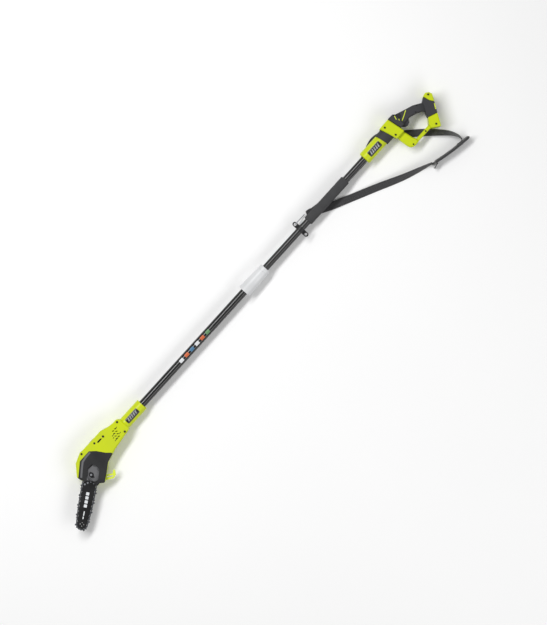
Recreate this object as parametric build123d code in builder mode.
"""A battery pole saw with a telescoping pole, lying on its side: +X runs along the pole from saw to handle,
+Y is the side of the handle's back, +Z is up, and the floor is Z = 0. All sizes are in millimetres."""

import os
from math import atan2, cos, degrees, pi, radians, sin, sqrt

from build123d import *

# ---------------------------------------------------------------- driving dimensions
# Stretches along the pole, from saw to handle
head_reach = 531.0  # chain's tip to the face where the pole enters the head
outer_exposed = 593.0  # bare pole between head and collar
collar_length = 123.0  # the twist-lock collar
inner_exposed = 575.0  # bare pole, hanger and foam grip between collar and handle
handle_reach = 361.0  # front of the handle's sleeve to the back of its foot

# What sets the object's width and height where it lies
head_top = 53.0  # pole axis to the head's back edge
strap_reach = 250.0  # pole axis to the far edge of the shoulder pad
foot_half_width = 39.0  # half of the battery foot, which the handle lies on

# Fits between pieces
fit = 0.05  # radial gap of a bonded or pressed fit
running = 0.08  # radial gap round a turning shaft
slip = 0.3  # gap round a piece that slides or swings
seam = 0.2  # gap where two mouldings meet

# Pole
outer_r = 15.0
tube_wall = 1.2
tube_gap = 0.2  # between inner and outer tube
outer_seat = 92.0  # outer tube inside the head
inner_overlap = 420.0  # inner tube inside the outer tube
outer_in_collar = 60.0  # outer tube inside the collar
inner_seat = 90.0  # inner tube inside the handle
coil_r = 9.0

inner_r = outer_r - tube_wall - tube_gap
inner_bore = inner_r - tube_wall

# Collar
collar_big_r = 27.0
collar_small_r = 23.0
collar_wall = 3.0
collar_lip = 12.0

# Foam grip and strap hanger
foam_start = 247.0  # collar to foam grip
foam_length = 218.0
foam_r = 19.5
hanger_start = 195.0  # collar to strap hanger
hanger_width = 18.0
hanger_r = 19.0
ear_reach = 39.0
ear_hole_y = 28.5
ear_hole_r = 5.2
ear_thick = 3.5

# Head
neck_r = 24.5
neck_length = 104.0
head_wall = 2.6
head_front = 33.0  # pole axis to the motor housing's top face
label_length = 64.0
label_width = 22.0
label_thick = 0.8
bend = 31.4  # angle between pole and guide bar

# Guide bar and chain, on the bar's own axis from the bar nut
drive_link_count = 34
sprocket_back = 65.0
bar_tail = 38.0
nose_centre = 197.0
nose_r = 18.0
belly_at = 60.0
belly_half = 24.5
tail_half = 19.5
bar_thick = 4.4
bar_groove = 1.35
bar_groove_deep = 7.2
bar_low = 13.4  # pole axis to the bar's underside
slot_half = 4.3
rivet_line = 3.0  # rail to the line of the rivets
wrap_r = 18.4  # line of the rivets round the sprocket
link_gauge = 1.1
strap_gauge = 1.2
rivet_r = 1.7

# Drive
sprocket_r = 11.9
sprocket_shaft_r = 5.0
gear_r = 24.0
pinion_r = 5.0
gear_teeth = 45
pinion_teeth = 9
motor_r = 21.0
motor_length = 76.0

# Handle
sleeve_r = 26.0
ring_r = 29.0
band_half = 33.0
leg_half = 15.0
guard_half = 9.5
handle_wall = 3.0
foot_turn = 58.0  # angle between the pole and the foot's face
socket_u = 21.0
socket_z = 17.0
socket_deep = 34.0
socket_wall = 2.5

# Shoulder strap
webbing_width = 30.0
webbing_thick = 1.6
pad_length = 168.0
pad_width = 44.0
pad_thick = 8.5
hook_wire = 1.6
hook_end_r = 11.0
hook_length = 62.0
hook_slope = 25.0

# ---------------------------------------------------------------- datums
total_length = head_reach + outer_exposed + collar_length + inner_exposed + handle_reach
head_x = head_reach - total_length / 2
collar_x = head_x + outer_exposed
collar_end = collar_x + collar_length
handle_x = collar_end + inner_exposed
pole_y = (strap_reach - head_top) / 2
pole_z = foot_half_width

head = Plane((head_x, pole_y, pole_z))
handle = Plane((handle_x, pole_y, pole_z))

nut_point = (-335.0, -38.0)  # bar nut, from the head's face and the pole axis
bar_dir = Vector(-cos(radians(bend)), -sin(radians(bend)), 0)
bar = Plane(head.from_local_coords((*nut_point, 0)), x_dir=bar_dir, z_dir=(0, 0, 1))
sprocket_point = bar.from_local_coords((-sprocket_back, 0, 0))
motor_y = sprocket_point.Y - pole_y  # the motor's axis meets the sprocket's
foot_dir = Vector(cos(radians(foot_turn)), sin(radians(foot_turn)), 0)
foot_out = Vector(sin(radians(foot_turn)), -cos(radians(foot_turn)), 0)
foot_point = (329.0, -81.5)  # middle of the foot's face

os.makedirs("parts", exist_ok=True)
made = {}


def keep(name, part):
    """Labels a finished piece and writes it to its own file."""
    part.label = name
    made[name] = part
    export_step(part, f"parts/{name}.step")


def station(x, y=0.0, z=0.0):
    """The plane across the pole at x, with its own x towards +Y."""
    return Plane((x, pole_y + y, pole_z + z), x_dir=(0, 1, 0), z_dir=(1, 0, 0))


def pipe(x_from, x_to, outside, inside=0.0, y=0.0, z=0.0):
    """A round bar or tube along the pole's direction."""
    with BuildPart() as round_bar:
        with BuildSketch(station(x_from, y, z)):
            Circle(outside)
            if inside:
                Circle(inside, mode=Mode.SUBTRACT)
        extrude(amount=x_to - x_from)
    return round_bar.part


def disc(plane, z_from, z_to, outside, inside=0.0, at=(0.0, 0.0)):
    """A round piece that stands on a plane."""
    with BuildPart() as round_piece:
        with BuildSketch(plane.offset(z_from)):
            with Locations(at):
                Circle(outside)
                if inside:
                    Circle(inside, mode=Mode.SUBTRACT)
        extrude(amount=z_to - z_from)
    return round_piece.part


def anticlockwise(points):
    """The same outline, listed anticlockwise, so that its face looks along the plane's normal."""
    area = 0.0
    for (x1, y1), (x2, y2) in zip(points, points[1:] + points[:1]):
        area += x1 * y2 - x2 * y1
    return points if area > 0 else points[::-1]


def plate(plane, points, z_from, z_to, corner=0.0, taper=0.0):
    """A flat piece of the given outline that stands on a plane."""
    with BuildPart() as flat_piece:
        with BuildSketch(plane.offset(z_from)) as outline:
            with BuildLine():
                Polyline(*anticlockwise(points), close=True)
            make_face()
            if corner:
                fillet(outline.vertices(), corner)
        extrude(amount=z_to - z_from, taper=taper)
    return flat_piece.part


def block(plane, centre, size, corner=0.0):
    """A box on a plane, centred on a point of it, with its upright edges rounded."""
    with BuildPart() as box_piece:
        with BuildSketch(plane.offset(centre[2] - size[2] / 2)):
            with Locations((centre[0], centre[1])):
                if corner:
                    RectangleRounded(size[0], size[1], corner)
                else:
                    Rectangle(size[0], size[1])
        extrude(amount=size[2])
    return box_piece.part


def group(pieces):
    """Separate solids of one kind, kept together in one node."""
    return Compound(children=list(pieces))


def screw(plane, at, z_from, z_top, head_r, shank_r):
    """A pan-head screw along the plane's normal, with a cross recess."""
    head_high = head_r * 0.55
    with BuildPart() as fastener:
        with BuildSketch(plane.offset(z_from)):
            with Locations(at):
                Circle(shank_r)
        extrude(amount=z_top - z_from)
        with BuildSketch(plane.offset(z_top)):
            with Locations(at):
                Circle(head_r)
        extrude(amount=head_high)
        with BuildSketch(plane.offset(z_top + head_high)):
            with Locations(at):
                Rectangle(head_r * 1.1, head_r * 0.25)
                Rectangle(head_r * 0.25, head_r * 1.1)
        extrude(amount=-head_r * 0.3, mode=Mode.SUBTRACT)
    return fastener.part


def drawn_in(plane, points, z_from, z_to, inset, corner=0.0):
    """A flat piece whose outline is the given one drawn in by the inset (out, if it is negative)."""
    with BuildPart() as inner_piece:
        with BuildSketch(plane.offset(z_from)) as outline:
            with BuildLine():
                Polyline(*anticlockwise(points), close=True)
            make_face()
            if corner:
                fillet(outline.vertices(), corner)
            offset(amount=-inset, kind=Kind.INTERSECTION)
        extrude(amount=z_to - z_from)
    return inner_piece.part


def halves(part, middle, gap):
    """Cuts a moulding along its parting plane and returns the upper and the lower half."""
    upper = split(part, middle.offset(gap / 2), Keep.TOP)
    lower = split(part, middle.offset(-gap / 2), Keep.BOTTOM)
    return upper, lower


# ---------------------------------------------------------------- pole
outer_end = collar_x + outer_in_collar
inner_from = outer_end - inner_overlap
inner_to = handle_x + inner_seat
keep("outer_tube", pipe(head_x - outer_seat, outer_end, outer_r, outer_r - tube_wall))
keep("inner_tube", pipe(inner_from, inner_to, inner_r, inner_bore))

bush_flange = 3.0
bush_length = 14.0
bush_bore = coil_r + 1.0
with BuildPart() as guide_bush:
    with BuildSketch(station(inner_from - bush_flange)):
        Circle(inner_r)
        Circle(bush_bore, mode=Mode.SUBTRACT)
    extrude(amount=bush_flange)
    with BuildSketch(station(inner_from)):
        Circle(inner_bore - fit)
        Circle(bush_bore, mode=Mode.SUBTRACT)
    extrude(amount=bush_length)
keep("guide_bush", guide_bush.part)

# ---------------------------------------------------------------- twist-lock collar
ring_length = 16.0
ring_x = collar_end - ring_length
grip_length = collar_length - ring_length
collet_big_r = collar_small_r - collar_wall - slip
collet_small_r = inner_r + 3.0
with BuildPart() as twist_collar:
    with BuildSketch(station(collar_x)):
        Circle(collar_big_r)
    with BuildSketch(station(ring_x - slip)):
        Circle(collar_small_r)
    loft()
    with BuildSketch(station(collar_x)):
        Circle(outer_r + slip)
    extrude(amount=collar_lip, mode=Mode.SUBTRACT)
    with BuildSketch(station(collar_x + collar_lip)):
        Circle(collar_small_r - collar_wall)
    extrude(amount=grip_length, mode=Mode.SUBTRACT)
keep("twist_collar", twist_collar.part)

sleeve_from = collar_x + collar_lip + slip
keep("clamp_sleeve", pipe(sleeve_from, outer_end, collet_big_r, outer_r + fit))

with BuildPart() as collet:
    with BuildSketch(station(outer_end)):
        Circle(collet_big_r)
    with BuildSketch(station(ring_x - slip)):
        Circle(collet_small_r)
    loft()
    with BuildSketch(station(outer_end)):
        Circle(inner_r + slip)
    extrude(amount=collar_length, mode=Mode.SUBTRACT)
    with BuildSketch(station(outer_end + 8.0)):
        with PolarLocations(collar_big_r / 2, 6):
            Rectangle(collar_big_r, 1.6)
    extrude(amount=collar_length, mode=Mode.SUBTRACT)
keep("collet", collet.part)

with BuildPart() as collar_ring:
    with BuildSketch(station(ring_x)):
        Circle(collar_small_r)
        Circle(inner_r + slip, mode=Mode.SUBTRACT)
    extrude(amount=ring_length)
    ring_end_edges = collar_ring.edges().filter_by(GeomType.CIRCLE).group_by(Axis.X)[-1]
    chamfer(ring_end_edges.sort_by(SortBy.RADIUS)[-1], 2.0)
keep("collar_ring", collar_ring.part)

# ---------------------------------------------------------------- foam grip and strap hanger
foam_x = collar_end + foam_start
hanger_x = collar_end + hanger_start
hanger_mid = hanger_x + hanger_width / 2
with BuildPart() as foam_grip:
    with BuildSketch(station(foam_x)):
        Circle(foam_r)
        Circle(inner_r + fit, mode=Mode.SUBTRACT)
    extrude(amount=foam_length)
    fillet(foam_grip.edges().filter_by(GeomType.CIRCLE).sort_by(SortBy.RADIUS)[-2:], 4.0)
keep("foam_grip", foam_grip.part)

hanger_plane = Plane((hanger_mid, pole_y, pole_z))
with BuildPart() as hanger:
    with BuildSketch(station(hanger_x)):
        Circle(hanger_r)
    extrude(amount=hanger_width)
    with BuildSketch(hanger_plane.offset(-ear_thick)):
        SlotOverall(2 * ear_reach, hanger_width, rotation=90)
    extrude(amount=2 * ear_thick)
    with BuildSketch(station(hanger_x - 1.0)):
        Circle(inner_r + fit)
    extrude(amount=hanger_width + 2.0, mode=Mode.SUBTRACT)
    with BuildSketch(hanger_plane.offset(-2 * ear_thick)):
        with Locations((0, ear_hole_y), (0, -ear_hole_y)):
            Circle(ear_hole_r)
    extrude(amount=4 * ear_thick, mode=Mode.SUBTRACT)
hanger_upper, hanger_lower = halves(hanger.part, hanger_plane, seam)
keep("hanger_upper", hanger_upper)
keep("hanger_lower", hanger_lower)

# ---------------------------------------------------------------- head housing
head_outline = [
    (-100, 20), (-106, 30), (-112, 35), (-128, 35), (-150, 38), (-185, 50), (-290, 51), (-300, head_top),
    (-343, 36), (-380, -4), (-378, -20), (-371, -40), (-356, -54), (-350, -86), (-338, -84), (-323, -97),
    (-288, -76), (-256, -54), (-200, -39.5), (-106, -28), (-100, -20),
]
cover_zone = [
    (-395, -11), (-376, -8), (-325, 30), (-273, 30), (-253, 10), (-233, -22), (-218, -38), (-216, -75),
    (-280, -120), (-395, -120),
]
head_low = -foot_half_width
bar_pad = 1.4  # raised pad that the bar is clamped on
deck_top = bar_low - bar_pad
deck_thick = 2.6
sprocket_xy = (sprocket_point.X - head_x, sprocket_point.Y - pole_y)
cap_xy = (-240.0, 0.0)
cap_r = 13.0
head_screw_spots = [(-115, 25), (-122, -22), (-193, 28), (-300, 44)]
boss_r = 4.5
screw_r = 2.0
screw_head_r = 4.2
bush_r = 9.0
stud_r = 4.0
cap_axis = Plane((head_x + cap_xy[0], pole_y, pole_z), x_dir=(1, 0, 0), z_dir=(0, 1, 0))

edge_cut = 4.0
head_corner = edge_cut + 0.3
head_under = Plane(head.origin, x_dir=(1, 0, 0), z_dir=(0, 0, -1))
head_outline_under = [(x, -y) for x, y in head_outline]

with BuildPart() as head_outside:
    add(plate(head, head_outline, head_low + edge_cut, head_front - edge_cut, head_corner))
    add(plate(head, head_outline, head_front - edge_cut, head_front, head_corner, 45))
    add(plate(head_under, head_outline_under, foot_half_width - edge_cut, foot_half_width, head_corner, 45))
    add(pipe(head_x - neck_length, head_x, neck_r))
with BuildPart() as head_inside:
    add(drawn_in(head, head_outline, head_low + head_wall, head_front - head_wall, 4.0))
    add(drawn_in(head, cover_zone, deck_top - deck_thick, head_front, -head_wall), mode=Mode.SUBTRACT)
with BuildPart() as head_body:
    add(head_outside.part)
    add(head_inside.part, mode=Mode.SUBTRACT)
    add(plate(head, cover_zone, deck_top, head_front + 5.0), mode=Mode.SUBTRACT)
    with BuildSketch(station(head_x - outer_seat - 30.0)):
        Circle(outer_r + fit)
    extrude(amount=outer_seat + 60.0, mode=Mode.SUBTRACT)
    with BuildSketch(head.offset(deck_top - 2 * deck_thick)):
        with Locations(sprocket_xy):
            Circle(bush_r + fit)
        with Locations(nut_point):
            Circle(stud_r + fit)
    extrude(amount=3 * deck_thick, mode=Mode.SUBTRACT)
    with BuildSketch(head.offset(head_low + head_wall)):
        with Locations(*head_screw_spots):
            Circle(boss_r)
    extrude(amount=head_front - head_wall - head_low - head_wall)
    with BuildSketch(head.offset(head_low + 8.0)):
        with Locations(*head_screw_spots):
            Circle(screw_r + fit)
    extrude(amount=foot_half_width + head_front, mode=Mode.SUBTRACT)
    with BuildSketch(cap_axis.offset(20.0)):
        Circle(cap_r + slip)
    extrude(amount=60.0, mode=Mode.SUBTRACT)
    with BuildSketch(bar.offset(deck_top)):
        SlotOverall(70.0, 22.0)
        Circle(stud_r + fit, mode=Mode.SUBTRACT)
    extrude(amount=bar_pad)
    with BuildSketch(head.offset(head_front - 3 * head_wall)):
        for row in range(4):
            with Locations((-151 - 4 * row, 13 - 10 * row), (-139 - 4 * row, 13 - 10 * row)):
                SlotOverall(9.0, 3.4, rotation=-35)
        with Locations((-213, 27)):
            SlotOverall(20.0, 4.0)
    extrude(amount=4 * head_wall, mode=Mode.SUBTRACT)
head_upper, head_lower = halves(head_body.part, head, 0.1)
keep("head_upper", head_upper)
keep("head_lower", head_lower)

with BuildPart() as name_plate:
    with BuildSketch(station(head_x - 90.0 + label_length)):
        Circle(neck_r + fit + label_thick)
        Circle(neck_r + fit, mode=Mode.SUBTRACT)
    extrude(amount=-label_length)
    with BuildSketch(head.offset(0)):
        with Locations((-90.0 + label_length / 2, -2.5)):
            RectangleRounded(label_length, label_width, 4.0)
    extrude(amount=2 * neck_r, mode=Mode.INTERSECT)
keep("head_plate", name_plate.part)

# ---------------------------------------------------------------- bar cover
cover_top = head_front - 1.0
cover_wall = 2.6
cover_space = 8.0  # room above the deck for the chain
recess = [(-353, -32), (-328, -12), (-303, -12), (-295, -30), (-298, -48), (-328, -68), (-353, -80)]
recess_floor = deck_top + cover_space + cover_wall
with BuildPart() as cover_zone_solid:
    add(drawn_in(head, cover_zone, deck_top + seam, cover_top, seam))
with BuildPart() as cover_form:
    add(plate(head, head_outline, deck_top + seam, cover_top - edge_cut, head_corner))
    add(plate(head, head_outline, cover_top - edge_cut, cover_top, head_corner, 45))
    add(cover_zone_solid.part, mode=Mode.INTERSECT)
with BuildPart() as cover_room:
    add(drawn_in(head, head_outline, deck_top, cover_top - cover_wall, 4.0))
    add(drawn_in(head, cover_zone, deck_top, cover_top - cover_wall, seam + cover_wall), mode=Mode.INTERSECT)
with BuildPart() as sprocket_cover:
    add(cover_form.part)
    add(cover_room.part, mode=Mode.SUBTRACT)
    with BuildSketch(bar.offset(deck_top)):
        with Locations((60.0, 0.0)):
            Rectangle(150.0, 84.0)
    extrude(amount=cover_space, mode=Mode.SUBTRACT)
    add(plate(head, recess, recess_floor, cover_top + 5.0, 4.0), mode=Mode.SUBTRACT)
    add(drawn_in(head, recess, recess_floor - cover_wall, recess_floor, -cover_wall))
    add(drawn_in(head, recess, recess_floor, cover_top, -cover_wall))
    add(plate(head, recess, recess_floor, cover_top + 5.0, 4.0), mode=Mode.SUBTRACT)
    with BuildSketch(head.offset(deck_top)):
        with Locations(nut_point):
            Circle(stud_r + slip)
    extrude(amount=head_front, mode=Mode.SUBTRACT)
    add(cover_form.part, mode=Mode.INTERSECT)
keep("bar_cover", sprocket_cover.part)

# ---------------------------------------------------------------- guide bar and chain
bar_mid = bar_low + bar_thick / 2
bar_end = nose_centre + nose_r


def bar_outline(grow=0.0):
    """The bar's outline, on its own axis, moved out by the given amount."""
    with BuildSketch(Plane.XY) as profile:
        with BuildLine():
            upper = ThreePointArc(
                (-bar_tail, tail_half + grow), (belly_at, belly_half + grow), (nose_centre, nose_r + grow)
            )
            lower = ThreePointArc(
                (nose_centre, -nose_r - grow), (belly_at, -belly_half - grow), (-bar_tail, -tail_half - grow)
            )
            ThreePointArc(upper @ 1, (bar_end + grow, 0), lower @ 0)
            Line(lower @ 1, upper @ 0)
        make_face()
    return profile.sketch


with BuildPart() as guide_bar:
    with BuildSketch(bar.offset(bar_low)):
        add(bar_outline())
    extrude(amount=bar_thick)
    with BuildSketch(bar.offset(bar_mid - bar_groove / 2)):
        add(bar_outline(1.0))
        add(bar_outline(-bar_groove_deep), mode=Mode.SUBTRACT)
    extrude(amount=bar_groove, mode=Mode.SUBTRACT)
    with BuildSketch(bar.offset(bar_low)):
        with Locations((-10.0, 0.0)):
            SlotOverall(52.0, 2 * slot_half)
        with Locations((8.0, 15.0), (8.0, -15.0)):
            Circle(2.5)
        with Locations((nose_centre, 0.0)):
            with PolarLocations(7.0, 4):
                Circle(1.4)
    extrude(amount=bar_thick, mode=Mode.SUBTRACT)
keep("guide_bar", guide_bar.part)

# the line of the rivets: round the sprocket, along the bar and round its nose
with BuildLine(Plane.XY) as rivet_path:
    rail_r = nose_r + rivet_line
    rail_tail = tail_half + rivet_line
    upper_lead = Line((-sprocket_back, wrap_r), (-bar_tail, rail_tail))
    upper_run = ThreePointArc(upper_lead @ 1, (belly_at, belly_half + rivet_line), (nose_centre, rail_r))
    nose_run = ThreePointArc(upper_run @ 1, (nose_centre + rail_r, 0), (nose_centre, -rail_r))
    lower_run = ThreePointArc(nose_run @ 1, (belly_at, -belly_half - rivet_line), (-bar_tail, -rail_tail))
    lower_lead = Line(lower_run @ 1, (-sprocket_back, -wrap_r))
    ThreePointArc(lower_lead @ 1, (-sprocket_back - wrap_r, 0), upper_lead @ 0)
rivet_wire = rivet_path.wires()[0]
rivet_count = 2 * drive_link_count
print("chain pitch", round(rivet_wire.length / rivet_count, 3))
rivets = [rivet_wire.position_at(index / rivet_count) for index in range(rivet_count)]
pitch = rivet_wire.length / rivet_count
tang_reach = sqrt(wrap_r**2 - (pitch / 2) ** 2) - sprocket_r - slip
wire_turns = -1 if rivet_wire.tangent_at(0.1).X > 0 else 1


def between(first, second):
    """Where a link lies that joins two rivets: its middle, with x along the chain and y outwards."""
    along = second - first
    middle = bar.from_local_coords((first + second) / 2)
    turn = degrees(atan2(along.Y, along.X)) + bend + 180.0
    if wire_turns > 0:
        turn += 180.0
    return Location((middle.X, middle.Y, pole_z), (0, 0, 1), turn)


half = pitch / 2
drive_shape = [
    (-half - 3.2, -1.5), (-half - 2.4, 2.6), (half + 2.4, 2.6), (half + 3.2, -1.5), (2.2, -tang_reach),
    (-1.2, -tang_reach),
]
strap_shape = [
    (-half - 3.4, -2.6), (-half - 3.4, 2.6), (half + 3.4, 2.6), (half + 3.4, -2.6), (half - 1.0, -2.6),
    (0, -1.9), (1.0 - half, -2.6),
]
cutter_shape = [
    (1.0 - half, -2.6), (-half - 3.4, -2.6), (-half - 3.4, 4.2), (-half - 1.0, 5.2), (-half + 2.4, 2.2),
    (half - 3.6, 2.4),
    (half - 2.6, 6.6), (half + 3.4, 6.0), (half + 3.4, -2.6),
    (half - 1.0, -2.6), (0, -1.9),
]
inner_side = link_gauge / 2
outer_side = inner_side + strap_gauge
origin_bar = Plane.XY.offset(bar_mid)


def link(shape, z_from, z_to):
    """A flat link with a hole for each of its two rivets."""
    with BuildPart() as flat_link:
        add(plate(origin_bar, shape, z_from, z_to))
        with BuildSketch(origin_bar.offset(z_from)):
            with Locations((-half, 0), (half, 0)):
                Circle(rivet_r + fit)
        extrude(amount=z_to - z_from, mode=Mode.SUBTRACT)
    return flat_link.part


drive_link = link(drive_shape, -inner_side, inner_side)
side_strap = link(strap_shape, 0.0, strap_gauge)
cutter_side = link(cutter_shape, 0.0, strap_gauge)
with BuildPart() as cutter_top:
    with BuildSketch(origin_bar):
        with BuildLine():
            Polyline((half - 2.6, 5.4), (half - 2.6, 6.6), (half + 3.4, 6.0), (half + 3.4, 4.8), close=True)
        make_face()
    extrude(amount=strap_gauge + 1.0)
with BuildPart() as cutter:
    add(cutter_side)
    add(cutter_top.part)
rivet = disc(origin_bar, -outer_side - 0.3, outer_side + 0.3, rivet_r)

drive_places = []
side_places = []
for index in range(rivet_count):
    place = between(rivets[index], rivets[(index + 1) % rivet_count])
    if index % 2:
        side_places.append(place)
    else:
        drive_places.append(place)


def side_piece(shape, place, upper):
    """A strap or cutter on one side of the drive links."""
    if upper:
        return shape.moved(place * Location((0, 0, inner_side)))
    mirrored = shape.mirror(Plane.XY.offset(bar_mid))
    return mirrored.moved(place * Location((0, 0, -inner_side)))


cutters = []
straps = []
for index, place in enumerate(side_places):
    cutter_is_upper = index % 4 == 0
    for upper in (True, False):
        if index % 2 == 0 and upper == cutter_is_upper:
            cutters.append(side_piece(cutter.part, place, upper))
        else:
            straps.append(side_piece(side_strap, place, upper))
rivet_places = [bar.from_local_coords(point) for point in rivets]
keep("chain_drive_links", group(drive_link.moved(place) for place in drive_places))
keep("chain_cutters", group(cutters))
keep("chain_tie_straps", group(straps))
keep("chain_rivets", group(rivet.moved(Location((spot.X, spot.Y, pole_z))) for spot in rivet_places))

# ---------------------------------------------------------------- clamping the bar
stud_low = deck_top - deck_thick - 3.0
nut_low = recess_floor
nut_high = 8.0
with BuildPart() as bar_stud:
    with BuildSketch(head.offset(stud_low)):
        with Locations(nut_point):
            RegularPolygon(7.0, 6)
    extrude(amount=3.0)
    with BuildSketch(head.offset(stud_low + 3.0)):
        with Locations(nut_point):
            Circle(stud_r)
    extrude(amount=nut_low + nut_high + 1.5 - stud_low - 3.0)
keep("bar_stud", bar_stud.part)
with BuildPart() as bar_nut:
    with BuildSketch(head.offset(nut_low)):
        with Locations(nut_point):
            Circle(9.5)
    extrude(amount=1.8)
    with BuildSketch(head.offset(nut_low + 1.8)):
        with Locations(nut_point):
            RegularPolygon(7.5, 6)
    extrude(amount=nut_high - 1.8)
    with BuildSketch(head.offset(nut_low)):
        with Locations(nut_point):
            Circle(stud_r + running)
    extrude(amount=nut_high, mode=Mode.SUBTRACT)
keep("bar_nut", bar_nut.part)

# ---------------------------------------------------------------- drive
sprocket_x = sprocket_point.X
gear_low = pinion_r + slip
gear_high = deck_top - deck_thick - slip
shaft_low = -24.0
frame_low = -20.0
frame_reach = gear_r + 5.0
bearing_r = 11.0
bearing_wide = 7.0
bearing_low = frame_low + 4.0
pinion_from = sprocket_x + 13.0
motor_from = sprocket_x + 52.0
motor_to = motor_from + motor_length


def toothed(plane, at, z_from, z_to, outer, root, teeth, bore):
    """A toothed wheel with straight teeth and a plain bore."""
    points = []
    for tooth in range(teeth):
        for share, radius in ((0.0, root), (0.28, root), (0.42, outer), (0.68, outer), (0.82, root)):
            angle = 2 * pi * (tooth + share) / teeth
            points.append((at[0] + radius * cos(angle), at[1] + radius * sin(angle)))
    wheel = plate(plane, points, z_from, z_to)
    with BuildPart() as toothed_wheel:
        add(wheel)
        with BuildSketch(plane.offset(z_from)):
            with Locations(at):
                Circle(bore)
        extrude(amount=z_to - z_from, mode=Mode.SUBTRACT)
    return toothed_wheel.part


keep("drive_gear", toothed(head, sprocket_xy, gear_low, gear_high, gear_r, gear_r - 2.4, gear_teeth,
                           sprocket_shaft_r + fit))
keep("sprocket_shaft", disc(head, shaft_low, bar_mid + 3.2, sprocket_shaft_r, at=sprocket_xy))
keep("drive_sprocket", toothed(head, sprocket_xy, bar_mid - 2.6, bar_mid + 2.6, sprocket_r, sprocket_r - 4.2,
                               6, sprocket_shaft_r + fit))
keep("shaft_bearings", group([
    disc(head, gear_high + slip, deck_top + 0.6, bush_r, sprocket_shaft_r + running, sprocket_xy),
    disc(head, bearing_low, bearing_low + bearing_wide, bearing_r, sprocket_shaft_r + running, sprocket_xy),
]))

frame_thick = 4.0
wall_thick = 5.0
wall_from = sprocket_x + frame_reach
mount_from = motor_from - wall_thick
wall_top = gear_low + 3.0
shaft_r = 2.5
journal_r = 8.0
plate_from = sprocket_x - frame_reach
plate_mid = (plate_from + motor_from) / 2 - head_x
with BuildPart() as gear_frame:
    add(block(head, (plate_mid, motor_y, frame_low + frame_thick / 2), (motor_from - plate_from, 44.0, frame_thick),
              5.0))
    with BuildSketch(head.offset(bearing_low)):
        with Locations(sprocket_xy):
            Circle(bearing_r + 3.0)
            Circle(bearing_r + fit, mode=Mode.SUBTRACT)
    extrude(amount=bearing_wide)
    for wall_x in (wall_from, mount_from):
        add(block(head, (wall_x + wall_thick / 2 - head_x, motor_y, (frame_low + wall_top) / 2),
                  (wall_thick, 40.0, wall_top - frame_low)))
    with BuildSketch(head.offset(frame_low - 1.0)):
        with Locations(sprocket_xy):
            Circle(sprocket_shaft_r + 1.0)
    extrude(amount=frame_thick + 2.0, mode=Mode.SUBTRACT)
    with BuildSketch(station(wall_from - 1.0, motor_y)):
        Circle(journal_r + fit)
    extrude(amount=wall_thick + 2.0, mode=Mode.SUBTRACT)
    with BuildSketch(station(mount_from - 1.0, motor_y)):
        Circle(shaft_r + 2.0)
    extrude(amount=wall_thick + 2.0, mode=Mode.SUBTRACT)
keep("gear_frame", gear_frame.part)

fan_r = 17.0
fan_from = motor_to + 3.0
fan_wide = 9.0
can_wall = 1.5
with BuildPart() as motor_can:
    add(pipe(motor_from, motor_to, motor_r, y=motor_y))
    add(pipe(motor_from + can_wall, motor_to - can_wall, motor_r - can_wall, y=motor_y), mode=Mode.SUBTRACT)
    add(pipe(motor_from - 1.0, motor_to + 1.0, journal_r + fit, y=motor_y), mode=Mode.SUBTRACT)
keep("motor_can", motor_can.part)
rotor_r = motor_r - can_wall - 4.0
keep("motor_rotor", pipe(motor_from + 12.0, motor_to - 12.0, rotor_r, shaft_r + fit, motor_y))
keep("motor_shaft", pipe(pinion_from, fan_from + fan_wide, shaft_r, y=motor_y))
keep("motor_bearings", group([
    pipe(wall_from, wall_from + wall_thick, journal_r, shaft_r + running, motor_y),
    pipe(motor_from, motor_from + wall_thick, journal_r, shaft_r + running, motor_y),
    pipe(motor_to - wall_thick, motor_to, journal_r, shaft_r + running, motor_y),
]))
keep("motor_pinion", toothed(station(pinion_from, motor_y), (0.0, 0.0), 0.0, 12.0, pinion_r, 3.6, pinion_teeth,
                             shaft_r + fit))
with BuildPart() as cooling_fan:
    add(pipe(fan_from, fan_from + fan_wide, 6.0, shaft_r + fit, motor_y))
    add(pipe(fan_from, fan_from + 1.2, fan_r, shaft_r + fit, motor_y))
    with BuildSketch(station(fan_from + 1.2, motor_y)):
        with PolarLocations(11.0, 9):
            Rectangle(11.5, 1.2, rotation=25)
    extrude(amount=fan_wide - 1.2)
keep("cooling_fan", cooling_fan.part)

# ---------------------------------------------------------------- oiling
tank_low = head_low + head_wall + slip
tank_x = (-275.0, -205.0)
tank_y = (23.0, 44.0)
tank_top = 6.0
tank_wall = 2.0
plug_r = 8.8
tank_mid = ((tank_x[0] + tank_x[1]) / 2, (tank_y[0] + tank_y[1]) / 2)
tank_size = (tank_x[1] - tank_x[0], tank_y[1] - tank_y[0])
tank_height = tank_top - tank_low
with BuildPart() as oil_tank:
    add(block(head, (*tank_mid, tank_low + tank_height / 2), (*tank_size, tank_height), 4.0))
    add(block(head, (*tank_mid, tank_low + tank_height / 2),
              (tank_size[0] - 2 * tank_wall, tank_size[1] - 2 * tank_wall, tank_height - 2 * tank_wall), 2.0),
        mode=Mode.SUBTRACT)
    with BuildSketch(cap_axis.offset(tank_y[1] - 1.5 * tank_wall)):
        Circle(plug_r + slip)
    extrude(amount=6 * tank_wall, mode=Mode.SUBTRACT)
keep("oil_tank", oil_tank.part)

cap_face = 51.5
with BuildPart() as oil_cap:
    with BuildSketch(cap_axis.offset(tank_y[1] + slip)):
        Circle(cap_r)
    extrude(amount=cap_face - tank_y[1] - slip)
    with BuildSketch(cap_axis.offset(tank_y[1] - 1.5 * tank_wall)):
        Circle(plug_r)
    extrude(amount=2 * tank_wall)
    with BuildSketch(cap_axis.offset(cap_face)):
        Circle(cap_r - 3.0)
        Rectangle(2 * cap_r, 4.0, mode=Mode.SUBTRACT)
    extrude(amount=-1.8, mode=Mode.SUBTRACT)
keep("oil_cap", oil_cap.part)

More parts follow.
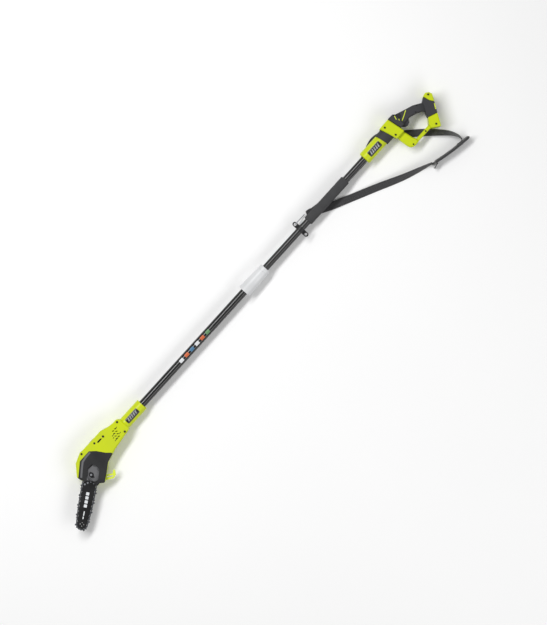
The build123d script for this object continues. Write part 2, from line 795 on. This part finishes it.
pump_side = 26.0
pump_low = tank_low
pump_high = shaft_low - slip
line_r = 2.0
line_x = sprocket_xy[0] + 8.0
pump_mid = (*sprocket_xy, (pump_low + pump_high) / 2)
pump_body = block(head, pump_mid, (pump_side, pump_side, pump_high - pump_low), 4.0)
with BuildPart() as oil_line:
    with BuildSketch(Plane((head_x + line_x, pole_y + motor_y + pump_side / 2, pole_z + pump_low + 6.0),
                           x_dir=(1, 0, 0), z_dir=(0, 1, 0))):
        Circle(line_r)
        Circle(line_r - 0.7, mode=Mode.SUBTRACT)
    extrude(amount=tank_y[0] - motor_y - pump_side / 2)
keep("oil_pump", group([pump_body, oil_line.part]))

# ---------------------------------------------------------------- branch hook and the head's screws
hook_outline = [
    (-316, -92.8), (-296, -80.8), (-277, -97), (-265, -88), (-260, -92), (-271, -108), (-287, -111.5),
]
hook_slot = [(-304, -90), (-299, -86.5), (-280, -102.5), (-286, -105)]
hook_half = 7.0
with BuildPart() as branch_hook:
    add(plate(head, hook_outline, -hook_half, hook_half))
    fillet(branch_hook.edges().filter_by(Axis.Z).sort_by(Axis.Y)[:5], 1.6)
    add(plate(head, hook_slot, -hook_half, hook_half, 1.0), mode=Mode.SUBTRACT)
keep("branch_hook", branch_hook.part)
keep("head_screws", group(
    screw(head, spot, 4.0, head_front, screw_head_r, screw_r) for spot in head_screw_spots
))

# ---------------------------------------------------------------- power cable
coil_from = head_x - outer_seat - 24.0
coil_to = inner_from + 40.0
lead_r = 1.3
lead_line = inner_bore - lead_r - slip
with BuildPart() as coil_cable:
    with BuildSketch(station(coil_from)):
        Circle(coil_r)
        Circle(coil_r - 2 * lead_r, mode=Mode.SUBTRACT)
    extrude(amount=coil_to - coil_from)
keep("coil_cable", coil_cable.part)
keep("handle_lead", pipe(inner_from + bush_length + 6.0, inner_to + 24.0, lead_r, z=-lead_line))

# ---------------------------------------------------------------- handle: sleeve and ring
sleeve_front = 12.0
sleeve_wall = 3.0
sleeve_slant = [(-5, 40), (90, 40), (105, -40), (-5, -40)]
ring_slant = [(90 + seam, 40), (120.4, 40), (141.6, -40), (105 + seam, -40)]
with BuildPart() as front_sleeve:
    add(pipe(handle_x, handle_x + 110.0, sleeve_r))
    fillet(front_sleeve.edges().filter_by(GeomType.CIRCLE).sort_by(Axis.X)[0], 6.0)
    add(plate(handle.offset(-40.0), sleeve_slant, 0.0, 80.0), mode=Mode.INTERSECT)
    add(pipe(handle_x + sleeve_front, handle_x + 120.0, sleeve_r - sleeve_wall), mode=Mode.SUBTRACT)
    add(pipe(inner_to - sleeve_front, inner_to, sleeve_r - sleeve_wall + fit))
    add(pipe(handle_x - 1.0, inner_to + 1.0, inner_r + fit), mode=Mode.SUBTRACT)
keep("front_sleeve", front_sleeve.part)

sleeve_label_x = 22.0
with BuildPart() as sleeve_plate:
    with BuildSketch(station(handle_x + sleeve_label_x)):
        Circle(sleeve_r + fit + label_thick)
        Circle(sleeve_r + fit, mode=Mode.SUBTRACT)
    extrude(amount=label_length + 2.0)
    with BuildSketch(handle):
        with Locations((sleeve_label_x + label_length / 2, -4.0)):
            RectangleRounded(label_length, label_width + 2.0, 4.0)
    extrude(amount=2 * sleeve_r, mode=Mode.INTERSECT)
keep("sleeve_plate", sleeve_plate.part)

with BuildPart() as joining_ring:
    add(pipe(handle_x + 80.0, handle_x + 150.0, ring_r))
    add(pipe(handle_x + 80.0, handle_x + 150.0, sleeve_r - sleeve_wall), mode=Mode.SUBTRACT)
    add(plate(handle.offset(-40.0), ring_slant, 0.0, 80.0), mode=Mode.INTERSECT)
keep("joining_ring", joining_ring.part)

# ---------------------------------------------------------------- handle: yellow mouldings
band_outline = [(122.6 + seam, 34), (172, 35), (184, -42), (142.6, -42)]
leg_outline = [
    (147, -36), (146, -60), (149, -88), (153, -102), (162, -110), (175, -113), (193, -112), (194, -96),
    (188, -84),
    (180, -36),
]
guard_outline = [(176, -111), (258, -111), (290, -118), (290, -90), (262, -97), (176, -97)]
foot_outline = [(293, -136), (321.5, -90.5), (284, -76), (266, -96), (262, -112)]
foot_inside = foot_half_width - handle_wall
cap_outline = [(346, -51.5), (362.5, -25), (358, -12), (346, -3), (331, -8), (336, -33)]
band_screws = [(141, 22), (149, -28)]
guard_screws = [(170, -104), (240, -104.5)]
foot_screws = [(286, -116), (349, -16)]
grip_half = 17.0
grip_screws = [(202, 28), (290, -11), (268, -26)]
handle_screw_list = (
    [(spot, 5.0, band_half, 3.8, 1.8) for spot in band_screws]
    + [(spot, -4.0, guard_half, 3.2, 1.6) for spot in guard_screws]
    + [(spot, 20.0, foot_half_width, 3.8, 1.8) for spot in foot_screws]
    + [(spot, 8.0, grip_half, 2.8, 1.4) for spot in grip_screws]
)
screw_ways = group(
    disc(handle, z_from, z_to, way_r + slip, at=spot)
    for spot, low, top, head_radius, shank in handle_screw_list
    for z_from, z_to, way_r in ((low - 1.0, top, shank), (top, top + 10.0, head_radius))
)


def both_ways(outline, half_depth, edge):
    """A moulding of the handle: the outline to both sides of the parting plane, with slanted edges."""
    flipped = [(x, -y) for x, y in outline]
    under = Plane(handle.origin, x_dir=(1, 0, 0), z_dir=(0, 0, -1))
    corner = edge + 0.2
    with BuildPart() as moulding:
        add(plate(handle, outline, edge - half_depth, half_depth - edge, corner))
        add(plate(handle, outline, half_depth - edge, half_depth, corner, 45))
        add(plate(under, flipped, half_depth - edge, half_depth, corner, 45))
    return moulding.part


foot_face = Plane(handle.from_local_coords((*foot_point, 0)), x_dir=foot_dir, z_dir=foot_out)
with BuildPart() as battery_way:
    with BuildSketch(foot_face.offset(-socket_deep)):
        RectangleRounded(2 * socket_u, 2 * socket_z, 4.0)
    extrude(amount=socket_deep + 30.0)

with BuildPart() as yellow_body:
    add(both_ways(band_outline, band_half, 3.0))
    add(both_ways(leg_outline, leg_half, 4.0))
    add(both_ways(guard_outline, guard_half, 2.0))
    add(both_ways(foot_outline, foot_half_width, 2.0))
    band_room = [(122, 30), (169, 31), (180, -32), (140, -32)]
    band_inside = band_half - handle_wall
    add(drawn_in(handle, band_room, -band_inside, band_inside, 0.5), mode=Mode.SUBTRACT)
    add(plate(handle, [(115, 22), (190, 22), (190, -20), (115, -20)], -18.0, 18.0), mode=Mode.SUBTRACT)
    add(drawn_in(handle, foot_outline, -foot_inside, foot_inside, handle_wall),
        mode=Mode.SUBTRACT)
    add(battery_way.part, mode=Mode.SUBTRACT)
    add(screw_ways, mode=Mode.SUBTRACT)
shell_upper, shell_lower = halves(yellow_body.part, handle, 0.1)
keep("shell_upper", shell_upper)
keep("shell_lower", shell_lower)

# ---------------------------------------------------------------- handle: dark grip
grip_core = [
    (180, 31), (200, 31), (208, 26.5), (280, 0), (318, -24), (324, -40), (312, -60),
    (302, -62), (286, -43), (270, -33), (240, -23), (187, -21),
]
foot_middle = [
    (311, -21), (331 - seam, -8.5), (336 - seam, -33), (346, -52), (321.5 + seam, -90), (284 + seam, -75.4),
    (290, -60), (305, -36),
]
grip_front = [(172 + seam, 36), (199, 35), (207, 27), (205, -25), (183 + seam, -24)]
grip_front_half = 27.0
trigger_outline = [(190, -14), (192, -27), (200, -36), (212, -39), (224, -34), (231, -22), (229, -14)]
trigger_half = 7.5
trigger_travel = 6.0
button_xy = (212.0, 12.0)
button_r = 9.0
button_deep = 8.0
with BuildPart() as grip_body:
    add(both_ways(grip_core, grip_half, 4.0))
    add(both_ways(grip_front, grip_front_half, 3.0))
    add(both_ways(foot_middle, foot_half_width - 1.5, 1.5))
    add(drawn_in(handle, grip_core, -grip_half + handle_wall, grip_half - handle_wall, handle_wall),
        mode=Mode.SUBTRACT)
    add(plate(handle, [(160, 22), (200, 20), (200, -16), (160, -16)], -13.0, 13.0), mode=Mode.SUBTRACT)
    add(drawn_in(handle, foot_middle, -foot_half_width + 2 * handle_wall, foot_half_width - 2 * handle_wall,
                 handle_wall), mode=Mode.SUBTRACT)
    add(battery_way.part, mode=Mode.SUBTRACT)
    add(plate(handle, [(189, -45), (189, -10), (232.5, -10), (232.5, -45)], -trigger_half - slip,
              trigger_half + slip), mode=Mode.SUBTRACT)
    add(disc(handle, grip_half - 2 * handle_wall, grip_half + 5.0, button_r + slip, at=button_xy),
        mode=Mode.SUBTRACT)
    add(yellow_body.part, mode=Mode.SUBTRACT)
    add(screw_ways, mode=Mode.SUBTRACT)
grip_upper, grip_lower = halves(grip_body.part, handle, 0.1)
keep("grip_upper", grip_upper)
keep("grip_lower", grip_lower)

with BuildPart() as foot_cap:
    add(both_ways(cap_outline, foot_half_width - 0.5, 1.5))
    add(drawn_in(handle, cap_outline, -foot_inside, foot_inside, handle_wall),
        mode=Mode.SUBTRACT)
    add(grip_body.part, mode=Mode.SUBTRACT)
    add(battery_way.part, mode=Mode.SUBTRACT)
    add(screw_ways, mode=Mode.SUBTRACT)
keep("foot_cap", group(halves(foot_cap.part, handle, 0.1)))

# ---------------------------------------------------------------- handle: switch gear
keep("trigger", plate(handle, trigger_outline, -trigger_half, trigger_half, 2.0))
spring_gap = trigger_travel + 1.0
switch_low = -14.0 + spring_gap
keep("switch_body", block(handle, (211.0, switch_low + 7.0, -2.5), (34.0, 14.0, 18.0), 2.0))
spring_plane = Plane(handle.from_local_coords((211.0, -14.0 + 0.2, 0.0)), x_dir=(1, 0, 0), z_dir=(0, 1, 0))
with BuildPart() as trigger_spring:
    with BuildSketch(spring_plane):
        Circle(3.4)
        Circle(2.6, mode=Mode.SUBTRACT)
    extrude(amount=spring_gap - 0.4)
keep("trigger_spring", trigger_spring.part)
with BuildPart() as lock_button:
    add(disc(handle, grip_half + 1.5 - button_deep, grip_half + 1.5, button_r, at=button_xy))
    fillet(lock_button.edges().group_by(Axis.Z)[-1], 1.5)
keep("lockout_button", lock_button.part)

with BuildPart() as battery_socket:
    with BuildSketch(foot_face.offset(-socket_deep + fit)):
        RectangleRounded(2 * socket_u - 2 * fit, 2 * socket_z - 2 * fit, 4.0)
    extrude(amount=socket_deep - 2.0)
    with BuildSketch(foot_face.offset(-socket_deep + socket_wall)):
        RectangleRounded(2 * socket_u - 2 * socket_wall, 2 * socket_z - 2 * socket_wall, 2.0)
    extrude(amount=socket_deep + 10.0, mode=Mode.SUBTRACT)
keep("battery_socket", battery_socket.part)
with BuildPart() as terminals:
    with BuildSketch(foot_face.offset(-socket_deep + socket_wall)):
        with GridLocations(10.0, 14.0, 3, 2):
            Rectangle(6.0, 0.9)
    extrude(amount=14.0)
keep("battery_terminals", terminals.part)

keep("handle_screws", group(screw(handle, *details) for details in handle_screw_list))

# ---------------------------------------------------------------- shoulder strap
floor_gap = 0.3
pad_from = (175.0, -215.0)
pad_turn = -10.7
pad_half = pad_length / 2
pad_mid = (pad_from[0] + pad_half * cos(radians(pad_turn)), pad_from[1] + pad_half * sin(radians(pad_turn)))
floor = Plane((handle_x, pole_y, 0.0))


def ribbon(stations, width=webbing_width, thick=webbing_thick):
    """A flat band on the floor. Each station is (x, y, lean, lift, width's share): the lean turns the band
    from flat, at 0 degrees, to standing on its edge, at 90."""
    middles = []
    for x, y, lean, lift, share in stations:
        rise = width * share / 2 * sin(radians(lean)) + thick / 2 * cos(radians(lean))
        middles.append(floor.from_local_coords((x, y, floor_gap + lift + rise)))
    sections = []
    for index, (x, y, lean, lift, share) in enumerate(stations):
        before = middles[max(index - 1, 0)]
        after = middles[min(index + 1, len(stations) - 1)]
        along = (after - before).normalized()
        level = Vector(-along.Y, along.X, 0).normalized()
        upright = along.cross(level)
        across = level * cos(radians(lean)) + upright * sin(radians(lean))
        sections.append((Plane(middles[index], x_dir=across, z_dir=along), width * share))
    with BuildPart() as band:
        for first, second in zip(sections, sections[1:]):
            for section_plane, section_width in (first, second):
                with BuildSketch(section_plane):
                    Rectangle(section_width, thick)
            loft(ruled=True)
    return band.part


front_leg = [
    (-309, 25, 0, 9.0, 0.6), (-290, 14, 0, 3.4, 1), (-237, -20, 0, 3.2, 1), (-185, -45, 0, 3.2, 1),
    (-140, -67, 0, 0, 1),
    (-50, -110, 12, 0, 1), (50, -160, 35, 0, 1), (130, -193, 62, 0, 1), (168, -207.5, 80, 0, 1),
]
rear_leg = [
    (286, -230, 88, 0, 1), (300, -232.6, 88, 0, 1), (309, -233, 86, 0, 1), (315.5, -226, 78, 0, 1),
    (314, -208, 66, 0, 1), (303, -184, 50, 0, 1), (284, -158, 36, 0, 1), (258, -128, 24, 0, 1),
    (226, -94, 12, 0, 1), (186, -56, 4, 0, 1), (145, -14, 0, 0, 1), (108, 14, 0, 0, 1), (75, 20, 0, 0, 1),
    (38, 11, 0, 0, 1), (0, 0, 14, 0, 1), (-60, -2, 30, 0, 1), (-150, 0, 22, 0, 1), (-205, 1, 0, 0, 1),
    (-240, 3, 0, 0, 1), (-283, 11, 0, 0, 1),
]
tail = [(184, -223.5, 88, 0, 1), (170, -225.5, 88, 0, 1), (158, -228, 85, 0, 1)]
keep("strap_front_leg", group([ribbon(front_leg), ribbon(tail)]))
keep("strap_rear_leg", ribbon(rear_leg))

pad_plane = Plane(floor.from_local_coords((*pad_mid, 0)), x_dir=Vector(1, 0, 0).rotate(Axis.Z, pad_turn),
                  z_dir=(0, 0, 1))
keep("shoulder_pad", block(pad_plane, (0, 0, pad_width / 2), (pad_length, pad_thick, pad_width), 3.0))
slider_mid = (-pad_length / 2 - 1.0, 1.2)
with BuildPart() as strap_slider:
    add(block(pad_plane, (slider_mid[0] - 6.0, slider_mid[1] + 1.5, webbing_width / 2 + 3.0),
              (11.0, 6.0, webbing_width + 5.0), 1.5))
    add(ribbon(front_leg[-2:], webbing_width + 1.0, webbing_thick + 1.0), mode=Mode.SUBTRACT)
keep("strap_slider", strap_slider.part)

# ---------------------------------------------------------------- snap hook
slope = radians(hook_slope)
hook_plane = Plane(
    hanger_plane.from_local_coords((0, ear_hole_y, 0)), x_dir=(cos(slope), 0, -sin(slope)), z_dir=(0, -1, 0)
)
line_r_hook = hook_end_r - hook_wire
near_x = line_r_hook
far_x = hook_length - hook_end_r - hook_wire
gate_from = near_x + 3.0
gate_to = far_x - 4.0
with BuildPart() as snap_hook:
    with BuildLine(hook_plane) as hook_line:
        first = Line((gate_from, line_r_hook), (near_x, line_r_hook))
        near_arc = ThreePointArc(first @ 1, (0, 0), (near_x, -line_r_hook))
        lower = Line(near_arc @ 1, (far_x, -line_r_hook))
        far_arc = ThreePointArc(lower @ 1, (far_x + line_r_hook, 0), (far_x, line_r_hook))
        Line(far_arc @ 1, (gate_to, line_r_hook))
    with BuildSketch(Plane(hook_line.line @ 0, z_dir=hook_line.line % 0)):
        Circle(hook_wire)
    sweep(path=hook_line.line)
keep("snap_hook", snap_hook.part)
gate_plane = Plane(hook_plane.from_local_coords((gate_from + slip, line_r_hook, 0)), z_dir=hook_plane.x_dir)
with BuildPart() as hook_gate:
    with BuildSketch(gate_plane):
        Circle(hook_wire - 0.5)
    extrude(amount=gate_to - gate_from - 2 * slip)
keep("hook_gate", hook_gate.part)
print("hook gate pivot", hook_plane.from_local_coords((gate_to - slip, line_r_hook, 0)))
print("parts", len(made))
